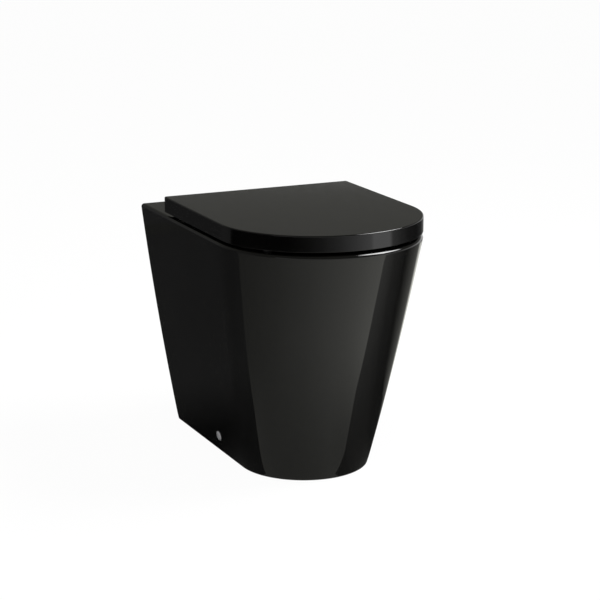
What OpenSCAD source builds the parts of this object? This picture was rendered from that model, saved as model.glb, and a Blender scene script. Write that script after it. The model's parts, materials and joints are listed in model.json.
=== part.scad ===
// Floor-standing toilet: a back-to-wall pan with a soft-close seat and lid.
// X runs across, Y runs back to the wall and Z runs up from the floor.

/* [Pan] */
// Width across the rim
pan_w = 370; // [356:2:390]
// Length from the wall to the front of the rim
pan_l = 560; // [545:5:580]
// Height of the rim above the floor
pan_h = 430; // [420:5:460]
// Length of the rounded front at the rim
rim_nose_l = 190; // [175:5:200]
// Width of the foot on the floor
foot_w = 235; // [225:5:255]
// Length of the foot from the wall
foot_l = 437; // [425:1:450]
// Length of the rounded front at the floor
foot_nose_l = 120; // [110:5:130]
// How far the walls swell out halfway up
wall_bow = 3.5; // [1:0.5:6]
// Thickness of the skirt walls
wall_t = 12; // [10:1:14]
// Thickness of the deck and the rim
deck_t = 16; // [13:1:20]
// Radius of the rim's rounded edges
edge_r = 6; // [3:0.5:8]
// Radius of the upright corners at the wall
corner_r = 5; // [3:1:8]
// Width of the flange round the inside of the foot
flange_w = 28; // [22:1:30]
// Height of the flange round the inside of the foot
flange_h = 14; // [10:1:18]

/* [Bowl] */
// Width of the bowl inside the rim
bowl_w = 278; // [270:2:284]
// Length of the bowl inside the rim
bowl_l = 327; // [320:1:332]
// Width of the rim at the front
rim_front_w = 37; // [34:1:42]
// Length of the rounded front of the bowl
bowl_nose_l = 175; // [165:5:185]
// Radius of the bowl's rear corners
bowl_corner_r = 105; // [90:5:115]
// Depth of the flush ledge below the rim
ledge_depth = 52; // [48:1:56]
// Width of the flush ledge
ledge_w = 12; // [8:1:14]
// Thickness of the bowl wall
bowl_t = 10; // [8:0.5:12]

/* [Trap and outlet] */
// Width of the water way through the trap
trap_d = 80; // [76:1:84]
// Thickness of the trap wall
trap_t = 9; // [7:0.5:10]
// Width of the sump at the bottom of the bowl
sump_d = 88; // [86:1:92]
// Height of the sump's centre
sump_z = 115; // [110:1:120]
// Distance from the wall to the sump's centre
sump_l = 325; // [320:1:328]
// Straight run from the sump's centre to the first bend
sump_run = 26; // [24:1:28]
// Bend radius under the bowl
low_bend_r = 80; // [78:1:82]
// Bend radius over the weir
weir_bend_r = 50; // [48:1:54]
// Straight riser between the two bends
riser_l = 6; // [4:1:8]
// Height of the outlet's centre
outlet_z = 180; // [178:1:185]
// Outside diameter of the outlet spigot
outlet_d = 102; // [100:1:106]
// Inside diameter of the outlet spigot
outlet_bore_d = 86; // [84:1:88]
// Distance from the wall to the end of the outlet
outlet_gap = 40; // [30:1:50]

/* [Flush inlet] */
// Height of the inlet's centre
inlet_z = 330; // [328:1:334]
// Diameter of the socket for the inlet seal
inlet_d = 55; // [53:1:57]
// Thickness of the inlet wall
inlet_t = 8.5; // [7:0.5:9]
// Diameter of the water way behind the seal
inlet_way_d = 48; // [44:1:50]
// Depth of the socket for the inlet seal
inlet_socket_l = 35; // [25:1:45]
// Distance from the wall to the end of the inlet
inlet_gap = 18; // [14:1:24]
// Diameter of the flush pipe that the seal takes
flush_pipe_d = 45; // [40:1:46]
// Width of the flush slot in the back of the bowl
slot_w = 110; // [90:5:120]
// Height of the flush slot
slot_h = 14; // [10:1:16]

/* [Seat and lid] */
// Gap beside the lid, in from the rim's sides
lid_side_gap = 1.3; // [0.5:0.1:3]
// Gap in front of the lid, in from the rim's front
lid_front_gap = 5; // [2:0.5:8]
// Length of the rounded front of the lid
lid_nose_l = 174; // [165:1:185]
// Air gap between the rim and the lid's lower edge
lid_air = 5.3; // [4:0.1:7]
// Thickness of the lid's top
lid_t = 4.5; // [3.5:0.1:5]
// Thickness of the lid's rim wall
lid_wall_t = 4.5; // [3.5:0.1:5]
// Radius of the lid's edges
lid_edge_r = 2; // [1:0.1:3]
// Radius of the lid's rear corners
lid_corner_r = 4; // [2:0.5:8]
// Thickness of the seat
seat_t = 18.5; // [17:0.5:20]
// Height of the seat's rest pads
seat_pad_h = 6; // [5:0.5:7]
// Height of the lid's rest pads
lid_pad_h = 4.5; // [4:0.5:6]
// Gap between the seat and the lid's rim wall
seat_gap = 1.5; // [1:0.1:3]
// Width of the opening in the seat
opening_w = 224; // [215:1:232]
// Length of the opening in the seat
opening_l = 271; // [262:1:278]
// Width of the seat at its front
seat_front_w = 58; // [54:1:64]
// Length of the rounded front of the opening
opening_nose_l = 150; // [135:5:165]
// Radius of the opening's rear corners
opening_corner_r = 85; // [70:5:95]
// Radius of the seat's rear corners
seat_corner_r = 14; // [8:1:20]
// Radius of the seat's outer edge
seat_edge_r = 4; // [2:0.5:5]
// Radius of the seat's edge round the opening
seat_lip_r = 8; // [4:0.5:9]
// Diameter of the seat's rest pads
seat_pad_d = 14; // [10:1:18]
// Diameter of the lid's rest pads
lid_pad_d = 12; // [8:1:16]
// Distance from the front of the rim to the rear pads
rear_pad_l = 340; // [320:5:360]
// Width of the seat behind the opening
seat_rear_w = 65; // [58:1:70]

/* [Hinges] */
// Distance between the two hinges
hinge_pitch = 155; // [145:1:165]
// Distance from the front of the rim to the hinges
hinge_l = 450; // [445:1:458]
// Height of the hinge axis above the rim
hinge_h = 22; // [21:0.5:23]
// Diameter of the hinge knuckles
knuckle_d = 16; // [15:0.5:17]
// Length of each knuckle on the seat and the lid
knuckle_l = 23.5; // [20:0.5:25]
// Length of the knuckle on each post
post_knuckle_l = 18; // [16:0.5:20]
// Side play between knuckles
knuckle_play = 1; // [0.5:0.1:1.5]
// Gap between the knuckles and the back of the lid
lid_hinge_gap = 1; // [0.8:0.1:1.5]
// Diameter of the hinge pins
pin_d = 6; // [5:0.5:7]
// Diameter of the dampers and the plain sleeves
damper_d = 11; // [10:0.1:11.6]
// Diameter of the post's stem
stem_d = 14; // [12:0.5:14.5]
// Diameter of the post's foot
post_foot_d = 40; // [34:1:44]
// Thickness of the post's foot
post_foot_t = 3.5; // [3:0.5:4]
// Thickness of the gasket under the post
gasket_t = 1.5; // [1:0.1:2]

/* [Seat fixings] */
// Diameter of the fixing holes in the deck
deck_hole_d = 14; // [13:0.5:16]
// Diameter of the fixing studs
stud_d = 8; // [6:0.5:8]
// Length of the fixing studs below the deck
stud_drop = 36; // [30:1:45]
// Length of the studs inside the hinge posts
stud_grip = 7; // [5:0.5:9]
// Diameter of the fixing bushes' flange
bush_flange_d = 26; // [22:1:30]
// Thickness of the fixing bushes' flange
bush_flange_t = 4; // [3:0.5:6]
// Thickness of the fixing washers
washer_t = 1.5; // [1:0.1:2]
// Height of the wing nuts
nut_h = 12; // [10:1:14]
// Width across the wings of the wing nuts
nut_w = 42; // [34:1:50]

/* [Floor fixings] */
// Distance from the wall to the side fixings
side_fix_l = 222; // [205:1:235]
// Height of the side fixings
side_fix_z = 32; // [30:0.5:38]
// Diameter of the side fixing holes
side_hole_d = 12; // [11:0.5:14]
// Diameter of the side screws
side_screw_d = 6; // [5:0.5:6.5]
// Diameter of the screw caps
cap_d = 18; // [17:0.5:20]
// Height of the screw caps
cap_h = 6; // [6:0.5:8]
// Thickness of the floor brackets
bracket_t = 4; // [3:0.5:5]
// Width of the floor brackets
bracket_w = 40; // [34:1:50]
// Height of the floor brackets
bracket_h = 58; // [52:1:64]
// Length of the floor brackets' foot
bracket_foot_l = 44; // [38:1:46]
// Diameter of the floor screw holes
floor_hole_d = 9; // [7:0.5:10]
// Distance between the two floor screw holes
floor_hole_pitch = 116; // [112:1:122]
// Gap between the foot's flange and the floor brackets
bracket_gap = 2.5; // [1.5:0.5:4]

/* [Hidden] */

glaze = [0.05, 0.05, 0.045];
soft_black = [0.12, 0.12, 0.12];
rubber_grey = [0.25, 0.25, 0.25];
chrome = [0.8, 0.8, 0.82];
steel = [0.62, 0.63, 0.65];
nylon = [0.9, 0.9, 0.87];

// Clearance of a turning or sliding fit, of a part dropped into a hole, and past an end
run_fit = 0.05;
drop_fit = 0.1;
end_play = 0.5;
// Bevel on the edges of small turned pieces
bevel = 1;
// Overreach of a cut past the face that it opens
over = 1;
// Steps round the nose of an outline and round each of its rear corners
nose_steps = 28;
corner_steps = 6;
small_corner_steps = 3;
// Levels that the skirt is lofted through
skirt_levels = 5;
// Angles that a rounded edge is lofted through, from its side to its top
edge_angles = [0, 30, 60, 90];
// Levels that the bowl is lofted through, from the sump to the ledge
bowl_levels = 8;
// Sides of the round water ways, and steps of the trap's bends and of the flush horn
pipe_sides = 24;
weir_steps = 11;
drop_steps = 5;
horn_steps = 5;

wall_y = pan_l / 2;
front_y = -pan_l / 2;
deck_z = pan_h - deck_t;
// The skirt reaches its full size where the rim's rounded edge begins
skirt_h = pan_h - edge_r;
ledge_z = pan_h - ledge_depth;

// A section is [half width, front y, nose length, back y, rear corner radius]
rim_section = [pan_w / 2, front_y, rim_nose_l, wall_y, corner_r];
foot_section = [foot_w / 2, wall_y - foot_l, foot_nose_l, wall_y, corner_r];

bowl_front_y = front_y + rim_front_w;
bowl_section = [bowl_w / 2, bowl_front_y, bowl_nose_l, bowl_front_y + bowl_l, bowl_corner_r];
ledge_section = shrink(bowl_section, ledge_w);
trap_r = trap_d / 2;
sump_r = sump_d / 2;
sump_y = wall_y - sump_l;
sump_section = [sump_r, sump_y - sump_r, sump_r, sump_y + sump_r, sump_r];
// How steeply each measure of the bowl's section closes in towards the sump
bowl_steepness = [1, 1.2, 1.1, 1.5, 1];

// Centres of the trap's bends, as [y, z]
low_bend = [sump_y + sump_run, sump_z + low_bend_r];
weir_bend = [low_bend.x + low_bend_r + weir_bend_r, low_bend.y + riser_l];
drop_angle = acos((outlet_z + weir_bend_r - weir_bend.y) / (2 * weir_bend_r));
last_bend = weir_bend + 2 * weir_bend_r * [sin(drop_angle), cos(drop_angle)];
// How far the trap and the exact outlet run into each other
trap_overlap = 4;
// The trap's centre line as [y, z, heading], from the sump to the outlet
trap_path = [
    [sump_y, sump_z, 0],
    for (h = [0 : 15 : 90])
        [low_bend.x + low_bend_r * sin(h), low_bend.y - low_bend_r * cos(h), h],
    for (i = [0 : weir_steps])
        let (h = 90 - (90 + drop_angle) * i / weir_steps)
            [weir_bend.x - weir_bend_r * sin(h), weir_bend.y + weir_bend_r * cos(h), h],
    for (i = [drop_steps - 1 : -1 : 0])
        let (h = -drop_angle * i / drop_steps)
            [last_bend.x + weir_bend_r * sin(h), last_bend.y - weir_bend_r * cos(h), h],
    [last_bend.x + trap_overlap, outlet_z, 0]
];
outlet_y = wall_y - outlet_gap;

inlet_y = wall_y - inlet_gap;
inlet_r = inlet_d / 2;
// The flush pipe flares over this length, into a slot that opens just above the ledge
horn_l = 55;
slot_reach = 4;
slot_y = bowl_section[3] - slot_reach;
slot_z = ledge_z + slot_h / 2 + over;
horn_y = slot_y + horn_l;
rib_t = 12;

hinge_y = front_y + hinge_l;
hinge_z = pan_h + hinge_h;
knuckle_r = knuckle_d / 2;
post_x = hinge_pitch / 2;
seat_knuckle_x = post_x + post_knuckle_l / 2 + knuckle_play;
lid_knuckle_x = post_x - post_knuckle_l / 2 - knuckle_play - knuckle_l;
knuckle_end_t = 2.5;
damper_l = knuckle_l - knuckle_end_t - end_play;
lid_barrel_x = lid_knuckle_x + knuckle_l - damper_l;
collar_t = 0.6;
// Side gap between a seat arm and the edge of the lid's hinge window
arm_gap = 1.5;
post_foot_z = pan_h + gasket_t;

seat_z = pan_h + seat_pad_h;
seat_top_z = seat_z + seat_t;
lid_under_z = seat_top_z + lid_pad_h;
lid_top_z = lid_under_z + lid_t;
lid_edge_z = pan_h + lid_air;
lid_rear_y = hinge_y - knuckle_r - lid_hinge_gap;
lid_section = [
    pan_w / 2 - lid_side_gap, front_y + lid_front_gap, lid_nose_l, lid_rear_y, lid_corner_r
];
lid_hollow_section = shrink(lid_section, lid_wall_t);
opening_front_y = lid_hollow_section[1] + seat_gap + seat_front_w;
opening_rear_y = opening_front_y + opening_l;
seat_rear_y = opening_rear_y + seat_rear_w;
seat_section = [
    lid_hollow_section[0] - seat_gap, lid_hollow_section[1] + seat_gap,
    lid_hollow_section[2] - seat_gap, seat_rear_y, seat_corner_r
];
opening_section = [opening_w / 2, opening_front_y, opening_nose_l, opening_rear_y, opening_corner_r];

// Rest pads stand midway across the rim, at this angle round the nose and beside the rear
pad_angle = 35;
front_pad = (nose_point(rim_section, pad_angle) + nose_point(bowl_section, pad_angle)) / 2;
rear_pad = [(pan_w + bowl_w) / 4, front_y + rear_pad_l];

// The skirt leans out by this angle at the side fixings
side_lean = atan((skirt(1 / skirt_levels)[0] - foot_section[0]) / (skirt_h / skirt_levels));
side_fix_x = foot_section[0] + side_fix_z * tan(side_lean);
side_fix_y = wall_y - side_fix_l;
// Distance along the side screw from the wall's face to the bracket
bracket_reach = (flange_w + (side_fix_z - flange_h) * tan(side_lean)) * cos(side_lean) + bracket_gap;
side_head_d = 11.6;
side_head_h = 3;
cap_wall_t = 1.4;
cap_edge_r = 4;
side_flange_r = cap_d / 2 - cap_wall_t - 2 * drop_fit;
side_flange_t = 1;

// Outlines and lofts

function reversed(list) = [for (i = [len(list) - 1 : -1 : 0]) list[i]];
function bow(t) = wall_bow * 4 * t * (1 - t);
function skirt(t) = foot_section * (1 - t) + rim_section * t + bow(t) * [1, -1, 1, 0, 0];
function shrink(s, d) = [s[0] - d, s[1] + d, s[2] - d, s[3] - d, max(s[4] - d, 0.5)];
function nose_point(s, a) = [s[0] * cos(a), s[1] + s[2] - s[2] * sin(a)];

// Straight sides, an elliptical nose in front and two rounded corners behind
function outline(s, corners = corner_steps) = concat(
    [for (i = [0 : nose_steps]) nose_point(s, 180 * i / nose_steps)],
    [for (i = [0 : corners]) let (a = 90 * i / corners)
        [-s[0] + s[4] * (1 - cos(a)), s[3] - s[4] * (1 - sin(a))]],
    [for (i = [corners : -1 : 0]) let (a = 90 * i / corners)
        [s[0] - s[4] * (1 - cos(a)), s[3] - s[4] * (1 - sin(a))]]
);
function ring(s, z, corners = corner_steps) = [for (p = outline(s, corners)) [p.x, p.y, z]];

// A skin through rings of equally many points, closed by two caps or end to end
module loft(rings, end_to_end = false) {
    n = len(rings[0]);
    m = len(rings);
    polyhedron(
        points = [for (r = rings) each r],
        faces = concat(
            [for (k = [0 : m - (end_to_end ? 1 : 2)], i = [0 : n - 1])
                let (j = (i + 1) % n, a = k * n, b = ((k + 1) % m) * n)
                each [[a + i, a + j, b + j], [a + i, b + j, b + i]]],
            end_to_end ? [] : [[for (i = [n - 1 : -1 : 0]) i], [for (i = [0 : n - 1]) (m - 1) * n + i]]
        ),
        convexity = 8
    );
}

// A round bar along Y from one y to another
module bar_y(y0, y1, z, r) {
    translate([0, y0, z])
        rotate([-90, 0, 0])
            cylinder(r = r, h = y1 - y0);
}

// A round bar along X on the hinge axis from one x to another
module bar_x(x0, x1, r) {
    translate([x0, hinge_y, hinge_z])
        rotate([0, 90, 0])
            cylinder(r = r, h = x1 - x0, $fn = 48);
}

module at_hinge() {
    translate([post_x, hinge_y, 0])
        children();
}

// Local Z points out of the skirt, square to its face, and local X runs down it
module at_side_fixing() {
    translate([side_fix_x, side_fix_y, side_fix_z])
        rotate([0, 90 + side_lean, 0])
            children();
}

// Paired pieces are drawn on the right, and a side of -1 puts them on the left
module on_side(side) {
    mirror([side < 0 ? 1 : 0, 0, 0])
        children();
}

module on_both_sides() {
    for (side = [-1, 1])
        on_side(side)
            children();
}

// Pan

module skirt_solid() {
    loft([
        for (k = [0 : skirt_levels - 1])
            ring(skirt(k / skirt_levels), skirt_h * k / skirt_levels, small_corner_steps),
        for (a = edge_angles)
            ring(shrink(rim_section, edge_r * (1 - cos(a))), skirt_h + edge_r * sin(a), small_corner_steps)
    ]);
}

// The space inside the skirt, open at the floor and towards the wall
module skirt_hollow() {
    levels = [flange_h, for (k = [1 : skirt_levels - 1]) skirt_h * k / skirt_levels, deck_z];
    loft([
        for (z = levels)
            ring(shrink(skirt(z / skirt_h), wall_t) + [0, 0, 0, wall_t + over, 0], z, small_corner_steps)
    ]);
    foot_inside = shrink(foot_section, flange_w) + [0, 0, 0, flange_w + over, 0];
    loft([ring(foot_inside, -over), ring(foot_inside, flange_h + over)]);
}

function close_in(s) = (1 - cos(180 * s)) / 2;
function funnel(s) = [for (i = [0 : len(sump_section) - 1])
    sump_section[i] + (ledge_section[i] - sump_section[i]) * pow(close_in(s), bowl_steepness[i])];
function funnel_z(s) = sump_z + (ledge_z - sump_z) * s;

// Rings that close a round section downwards like a ball
function ball_bottom(s) = [for (b = [75 : -15 : 15])
    ring(shrink(s, s[0] * (1 - cos(b))), sump_z - s[0] * sin(b))];

module bowl_inside() {
    ledge_slope = 8;
    loft([
        each ball_bottom(sump_section),
        for (k = [0 : bowl_levels])
            ring(funnel(k / bowl_levels), funnel_z(k / bowl_levels)),
        ring(bowl_section, ledge_z + ledge_slope),
        for (a = edge_angles)
            ring(shrink(bowl_section, edge_r * (cos(a) - 1)), skirt_h + edge_r * sin(a)),
        ring(shrink(bowl_section, -edge_r), pan_h + over)
    ]);
}

module bowl_outside() {
    upper_section = shrink(bowl_section, -bowl_t);
    loft([
        each ball_bottom(shrink(sump_section, -bowl_t)),
        for (k = [0 : bowl_levels - 1])
            ring(shrink(funnel(k / bowl_levels), -bowl_t), funnel_z(k / bowl_levels)),
        ring(upper_section, ledge_z - bowl_t),
        ring(upper_section, skirt_h)
    ]);
}

// The water way from the sump up over the weir and down to the outlet
module trap(r) {
    loft([
        for (p = trap_path)
            [for (i = [0 : pipe_sides - 1])
                let (a = 360 * i / pipe_sides, up = r * cos(a))
                    [-r * sin(a), p[0] - up * sin(p[2]), p[1] + up * cos(p[2])]]
    ]);
}

// The flush pipe, which flares from a round end at the wall to the slot over the ledge
module flush_horn(r, slot_half_w, slot_half_h, end_y) {
    horn_ring = function (y, z, half_w, half_h, squareness)
        [for (i = [0 : pipe_sides - 1])
            let (a = 360 * (i + 0.5) / pipe_sides, s = sin(a), c = cos(a))
                [half_w * sign(s) * pow(abs(s), 2 / squareness), y,
                    z + half_h * sign(c) * pow(abs(c), 2 / squareness)]];
    loft([
        horn_ring(end_y, inlet_z, r, r, 2),
        for (i = [0 : horn_steps])
            let (s = i / horn_steps, e = close_in(s))
                horn_ring(
                    horn_y + (slot_y - horn_y) * s, inlet_z + (slot_z - inlet_z) * e,
                    r + (slot_half_w - r) * e, r + (slot_half_h - r) * e, 2 + 4 * e
                )
    ]);
}

// The web that hangs the flush pipe from the deck
module inlet_rib() {
    setback = 4;
    end_y = inlet_y - setback;
    translate([-rib_t / 2, horn_y, inlet_z])
        cube([rib_t, end_y - horn_y, deck_z - inlet_z + over]);
}

// The fired casting, held to its overall size
module casting() {
    resize([pan_w, pan_l, pan_h])
        difference() {
            union() {
                difference() {
                    skirt_solid();
                    skirt_hollow();
                }
                bowl_outside();
                trap(trap_r + trap_t);
                flush_horn(inlet_r + inlet_t, slot_w / 2 + inlet_t, slot_h / 2 + inlet_t, inlet_y);
                inlet_rib();
            }
            bowl_inside();
            trap(trap_r);
            flush_horn(inlet_way_d / 2, slot_w / 2, slot_h / 2, inlet_y + over);
        }
}

module pan() {
    bend_clear = 1;
    color(glaze)
        difference() {
            union() {
                casting();
                bar_y(last_bend.x + bend_clear, outlet_y, outlet_z, outlet_d / 2);
            }
            bar_y(last_bend.x - trap_overlap, outlet_y + over, outlet_z, outlet_bore_d / 2);
            bar_y(inlet_y - inlet_socket_l, inlet_y + over, inlet_z, inlet_r);
            on_both_sides() {
                at_hinge()
                    translate([0, 0, deck_z - over])
                        cylinder(d = deck_hole_d, h = deck_t + 2 * over, $fn = 48);
                at_side_fixing()
                    translate([0, 0, -wall_t - 2 * over])
                        cylinder(d = side_hole_d, h = wall_t + 4 * over, $fn = 48);
            }
        }
}

// A rubber sleeve in the inlet, with a collar outside and a tapered lead-in
module inlet_seal() {
    outer_r = inlet_r - drop_fit;
    bore_r = flush_pipe_d / 2;
    collar_t = 4;
    lead_in = 2;
    end_gap = 4;
    length = inlet_socket_l - end_gap;
    color(rubber_grey)
        translate([0, inlet_y, inlet_z])
            rotate([90, 0, 0])
                rotate_extrude($fn = 64)
                    polygon([
                        [bore_r + lead_in, -collar_t], [inlet_r + inlet_t, -collar_t],
                        [inlet_r + inlet_t, 0], [outer_r, 0],
                        [outer_r, length - lead_in], [outer_r - lead_in, length],
                        [bore_r, length], [bore_r, 0]
                    ]);
}

// Hinges

module hinge_post(side) {
    foot_r = post_foot_d / 2;
    socket_l = stud_grip + bevel;
    color(chrome)
        on_side(side)
            difference() {
                union() {
                    at_hinge()
                        translate([0, 0, post_foot_z]) {
                            rotate_extrude($fn = 64)
                                polygon([
                                    [0, 0], [foot_r, 0], [foot_r, post_foot_t - bevel],
                                    [foot_r - bevel, post_foot_t], [0, post_foot_t]
                                ]);
                            cylinder(d = stem_d, h = hinge_z - post_foot_z, $fn = 48);
                        }
                    bar_x(post_x - post_knuckle_l / 2, post_x + post_knuckle_l / 2, knuckle_r);
                }
                bar_x(post_x - post_knuckle_l, post_x + post_knuckle_l, pin_d / 2 + run_fit);
                at_hinge()
                    translate([0, 0, post_foot_z - over])
                        cylinder(r = stud_d / 2 + run_fit, h = socket_l + over, $fn = 48);
            }
}

module hinge_pin(side) {
    color(steel)
        on_side(side)
            bar_x(lid_barrel_x, seat_knuckle_x + damper_l, pin_d / 2);
}

// A plain sleeve inside a knuckle, turning on the pin
module sleeve(x) {
    difference() {
        bar_x(x, x + damper_l, damper_d / 2);
        bar_x(x - over, x + damper_l + over, pin_d / 2 + run_fit);
    }
}

// A fluid damper in place of a sleeve, with a collar over the knuckle's mouth
module damper(x, collar_x) {
    difference() {
        union() {
            bar_x(x, x + damper_l, damper_d / 2);
            bar_x(collar_x, collar_x + collar_t, knuckle_r - bevel);
        }
        bar_x(x - over, x + damper_l + over, pin_d / 2 + run_fit);
    }
}

// Seat fixings

module post_gaskets() {
    color(rubber_grey)
        on_both_sides()
            at_hinge()
                translate([0, 0, pan_h])
                    washer(post_foot_d / 2, gasket_t);
}

module fixing_studs() {
    color(steel)
        on_both_sides()
            at_hinge()
                translate([0, 0, deck_z - stud_drop])
                    cylinder(d = stud_d, h = stud_drop + deck_t + gasket_t + stud_grip, $fn = 48);
}

// Rubber bushes that grip the deck holes from below
module fixing_bushes() {
    bore_r = stud_d / 2 + drop_fit;
    sleeve_r = deck_hole_d / 2 - drop_fit;
    flange_r = bush_flange_d / 2;
    sleeve_h = bush_flange_t + deck_t - end_play;
    color(rubber_grey)
        on_both_sides()
            at_hinge()
                translate([0, 0, deck_z - bush_flange_t])
                    rotate_extrude($fn = 64)
                        polygon([
                            [bore_r, 0], [flange_r - bevel, 0], [flange_r, bevel], [flange_r, bush_flange_t],
                            [sleeve_r, bush_flange_t], [sleeve_r, sleeve_h], [bore_r, sleeve_h]
                        ]);
}

module fixing_washers() {
    color(steel)
        on_both_sides()
            at_hinge()
                translate([0, 0, deck_z - bush_flange_t - washer_t])
                    washer(bush_flange_d / 2 - bevel, washer_t);
}

// A flat washer round a stud
module washer(r, t) {
    difference() {
        cylinder(r = r, h = t, $fn = 64);
        translate([0, 0, -over])
            cylinder(r = stud_d / 2 + drop_fit, h = t + 2 * over, $fn = 48);
    }
}

module wing_nuts() {
    wing_t = 4;
    wing_h = 9;
    hub_t = 5;
    color(nylon)
        on_both_sides()
            at_hinge()
                translate([0, 0, deck_z - bush_flange_t - washer_t - nut_h])
                    difference() {
                        union() {
                            cylinder(d = stud_d + 2 * hub_t, h = nut_h, $fn = 48);
                            translate([-nut_w / 2, -wing_t / 2, 0])
                                cube([nut_w, wing_t, wing_h]);
                        }
                        translate([0, 0, -over])
                            cylinder(r = stud_d / 2 + run_fit, h = nut_h + 2 * over, $fn = 48);
                    }
}

// Floor fixings

// An angle that stands on the floor, with its upright parallel to the skirt
module floor_bracket(side) {
    up = [sin(side_lean), cos(side_lean)];
    inward = [-cos(side_lean), sin(side_lean)];
    heel = [side_fix_x - bracket_reach / cos(side_lean) - side_fix_z * tan(side_lean), 0];
    toe = heel - [bracket_foot_l, 0];
    inner_rise = bracket_t * (1 - sin(side_lean)) / cos(side_lean);
    color(nylon)
        on_side(side)
            difference() {
                translate([0, side_fix_y, 0])
                    rotate([90, 0, 0])
                        linear_extrude(bracket_w, center = true)
                            polygon([
                                toe, heel, heel + bracket_h * up,
                                heel + bracket_h * up + bracket_t * inward,
                                heel + bracket_t * inward + inner_rise * up, toe + [0, bracket_t]
                            ]);
                at_side_fixing()
                    translate([0, 0, -bracket_reach - 2 * bracket_t])
                        cylinder(r = side_screw_d / 2 + run_fit, h = 3 * bracket_t, $fn = 48);
                translate([floor_hole_pitch / 2, side_fix_y, -over])
                    cylinder(d = floor_hole_d, h = bracket_t + 2 * over, $fn = 48);
            }
}

// Flanged bushes that line the holes in the skirt
module side_bushes() {
    bore_r = side_screw_d / 2 + drop_fit;
    sleeve_r = side_hole_d / 2 - drop_fit;
    inner_reach = 2;
    inner_end = -wall_t - inner_reach;
    color(nylon)
        on_both_sides()
            at_side_fixing()
                rotate_extrude($fn = 48)
                    polygon([
                        [bore_r, inner_end], [sleeve_r, inner_end], [sleeve_r, 0],
                        [side_flange_r, 0], [side_flange_r, side_flange_t], [bore_r, side_flange_t]
                    ]);
}

module side_screws() {
    shank_r = side_screw_d / 2;
    head_r = side_head_d / 2;
    tip_l = 6;
    tip = -bracket_reach - bracket_t - tip_l;
    head_top = side_flange_t + side_head_h;
    color(steel)
        on_both_sides()
            at_side_fixing()
                rotate_extrude($fn = 48)
                    polygon([
                        [0, tip], [shank_r - bevel, tip], [shank_r, tip + bevel],
                        [shank_r, side_flange_t], [head_r, side_flange_t],
                        [head_r, head_top - bevel], [head_r - bevel, head_top], [0, head_top]
                    ]);
}

// Domed covers that snap over the bushes' flanges
module screw_caps() {
    cap_r = cap_d / 2;
    inner_r = side_flange_r + drop_fit;
    inner_h = cap_h - cap_wall_t;
    color(chrome)
        on_both_sides()
            at_side_fixing()
                rotate_extrude($fn = 64)
                    polygon([
                        [inner_r, 0], [cap_r, 0],
                        for (a = edge_angles)
                            [cap_r - cap_edge_r * (1 - cos(a)), cap_h - cap_edge_r * (1 - sin(a))],
                        [0, cap_h], [0, inner_h], [inner_r - bevel, inner_h], [inner_r, inner_h - bevel]
                    ]);
}

// Seat

module seat_ring() {
    lower_r = 2;
    outer = function (d, z) ring(shrink(seat_section, d), z);
    inner = function (d, z) ring(shrink(opening_section, -d), z);
    loft([
        outer(lower_r, seat_z),
        outer(0, seat_z + lower_r),
        for (a = edge_angles)
            outer(seat_edge_r * (1 - cos(a)), seat_top_z - seat_edge_r * (1 - sin(a))),
        for (a = reversed(edge_angles))
            inner(seat_lip_r * (1 - cos(a)), seat_top_z - seat_lip_r * (1 - sin(a))),
        inner(0, seat_z + lower_r),
        inner(lower_r, seat_z)
    ], end_to_end = true);
}

// A knuckle on the hinge axis, with an arm that carries it from root_y up to height top_z
module knuckle(x, root_y, top_z) {
    arm_z = hinge_z - knuckle_r + end_play;
    bar_x(x, x + knuckle_l, knuckle_r);
    translate([x, root_y, arm_z])
        cube([knuckle_l, hinge_y - root_y, top_z - arm_z]);
}

module seat() {
    arm_root = 12;
    color(glaze)
        difference() {
            union() {
                seat_ring();
                on_both_sides()
                    knuckle(seat_knuckle_x, seat_rear_y - arm_root, seat_top_z);
            }
            on_both_sides()
                bar_x(seat_knuckle_x - over, seat_knuckle_x + knuckle_l - knuckle_end_t,
                    damper_d / 2 + run_fit);
        }
}

module seat_pads() {
    color(rubber_grey)
        on_both_sides()
            for (p = [front_pad, rear_pad])
                translate([p.x, p.y, pan_h])
                    cylinder(d = seat_pad_d, h = seat_pad_h, $fn = 48);
}

module seat_damper() {
    color(soft_black)
        damper(seat_knuckle_x, seat_knuckle_x - collar_t);
}

module seat_sleeve() {
    color(nylon)
        on_side(-1)
            sleeve(seat_knuckle_x);
}

// Lid

// A dish of even thickness, open below, with a softened top edge
module lid_shell() {
    lower_edge_r = 0.8;
    loft([
        ring(lid_hollow_section, lid_under_z),
        ring(lid_hollow_section, lid_edge_z),
        ring(shrink(lid_section, lower_edge_r), lid_edge_z),
        ring(lid_section, lid_edge_z + lower_edge_r),
        for (a = edge_angles)
            ring(shrink(lid_section, lid_edge_r * (1 - cos(a))), lid_top_z - lid_edge_r * (1 - sin(a)))
    ]);
}

// The gap in the lid's back wall that a post and a seat arm pass through
module hinge_window() {
    inner_x = lid_knuckle_x + knuckle_l;
    outer_x = seat_knuckle_x + knuckle_l + arm_gap;
    translate([inner_x, lid_rear_y - lid_wall_t - over, lid_edge_z - over])
        cube([outer_x - inner_x, lid_wall_t + 2 * over, lid_under_z - lid_edge_z + over]);
}

module lid() {
    color(glaze)
        difference() {
            union() {
                difference() {
                    lid_shell();
                    on_both_sides()
                        hinge_window();
                }
                on_both_sides()
                    knuckle(lid_knuckle_x, lid_rear_y - lid_wall_t / 2, lid_under_z);
            }
            on_both_sides()
                bar_x(lid_knuckle_x + knuckle_end_t, lid_knuckle_x + knuckle_l + over,
                    damper_d / 2 + run_fit);
        }
}

module lid_pads() {
    color(rubber_grey)
        on_both_sides()
            translate([front_pad.x, front_pad.y, seat_top_z])
                cylinder(d = lid_pad_d, h = lid_pad_h, $fn = 48);
}

module lid_damper() {
    color(soft_black)
        on_side(-1)
            damper(lid_barrel_x, lid_knuckle_x + knuckle_l);
}

module lid_sleeve() {
    color(nylon)
        sleeve(lid_barrel_x);
}

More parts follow.
